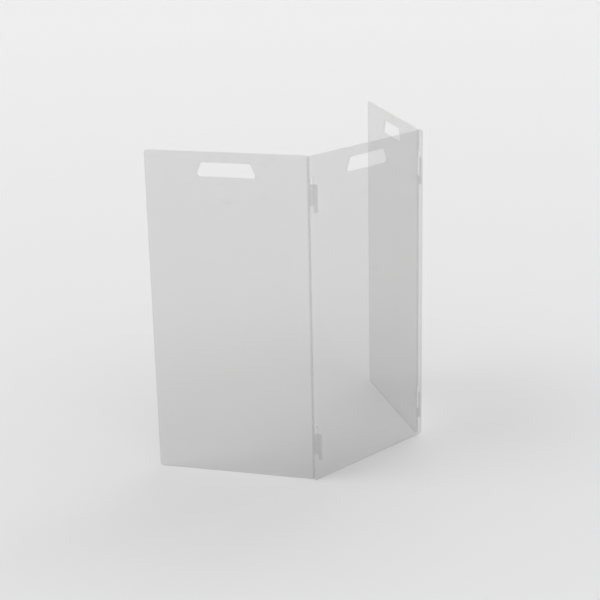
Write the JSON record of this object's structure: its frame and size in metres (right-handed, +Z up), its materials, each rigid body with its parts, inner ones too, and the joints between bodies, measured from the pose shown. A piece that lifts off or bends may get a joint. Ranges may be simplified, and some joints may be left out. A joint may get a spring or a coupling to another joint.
{
  "type": "microphone isolation shield",
  "caption": "Freestanding clear acrylic shield in a half-hexagon plan: a centre panel and wings that hook into its slots and swing on them.",
  "frame": {"origin": "middle of the footprint's bounding rectangle, on the surface the shield stands on", "axes": "+Z up; the centre panel lies along X; -Y is the outer side with the hook prongs, +Y is the microphone's side"},
  "size_m": [0.594, 0.276, 0.61],
  "materials": {
    "clear_acrylic": "clear cast acrylic sheet with polished faces and flame-polished cut edges"
  },
  "bodies": {
    "centre": {"centre_panel": "clear_acrylic"},
    "left": {"left_wing": "clear_acrylic"},
    "right": {"right_wing": "clear_acrylic"}
  },
  "joints": [
    {"name": "left_swing", "type": "hinge", "parent": "centre", "child": "left", "pos_m": [-0.1419, -0.12839, 0.3], "axis": [0, 0, -1], "range_deg": [0, 30]},
    {"name": "right_swing", "type": "hinge", "parent": "centre", "child": "right", "pos_m": [0.1419, -0.12839, 0.3], "axis": [0, 0, 1], "range_deg": [0, 30]}
  ]
}
